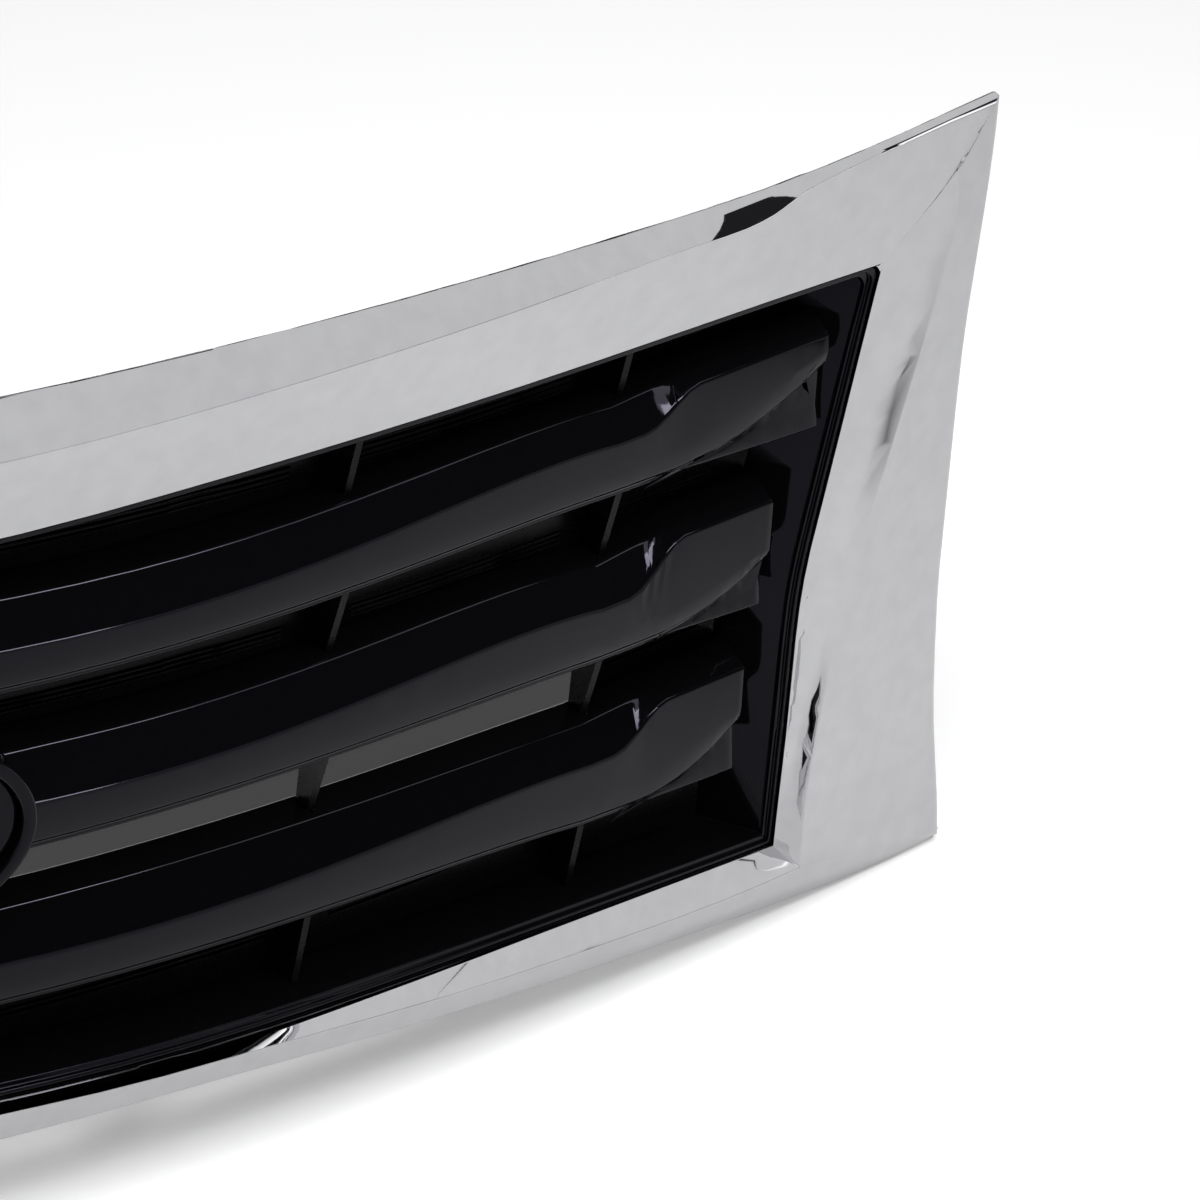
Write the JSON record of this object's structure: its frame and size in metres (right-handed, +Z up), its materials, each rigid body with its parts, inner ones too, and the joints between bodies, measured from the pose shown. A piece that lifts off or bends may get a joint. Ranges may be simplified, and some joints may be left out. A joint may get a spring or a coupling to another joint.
{
  "type": "front grille",
  "caption": "Swept-back vehicle front grille: chrome-plated surround with hollowed side scoops around gloss black winged slats, upright fins and a plain oval badge place.",
  "frame": {"origin": "centre of the bounding box", "axes": "+X to the right seen from the front, front faces -Y, +Y into the vehicle, +Z up"},
  "size_m": [0.9678, 0.1516, 0.3434],
  "materials": {
    "chrome_trim": "bright electroplated",
    "gloss_black": "gloss black moulded",
    "satin_black": "fine satin moulded black",
    "spring_steel": "phosphated spring steel",
    "zinc_steel": "zinc plated",
    "seal_foam": "cellular rubber",
    "stop_rubber": "moulded rubber"
  },
  "bodies": {
    "root": {"chrome_surround": "chrome_trim", "insert_frame": "gloss_black", "slat_upper": "gloss_black", "slat_middle_left": "gloss_black", "slat_middle_right": "gloss_black", "slat_lower": "gloss_black", "fin_inner_right": "satin_black", "fin_inner_left": "satin_black", "fin_outer_right": "satin_black", "fin_outer_left": "satin_black", "panel_upper": "satin_black", "panel_side_right": "satin_black", "panel_side_left": "satin_black", "panel_lower": "satin_black", "badge_base": "gloss_black", "badge_rim": "gloss_black", "badge_plate": "gloss_black", "badge_push_nuts": "spring_steel", "flange_screws": "zinc_steel", "top_seal": "seal_foam", "side_clip_left": "spring_steel", "side_clip_right": "spring_steel", "bump_stop_left": "stop_rubber", "bump_stop_right": "stop_rubber"}
  },
  "joints": []
}
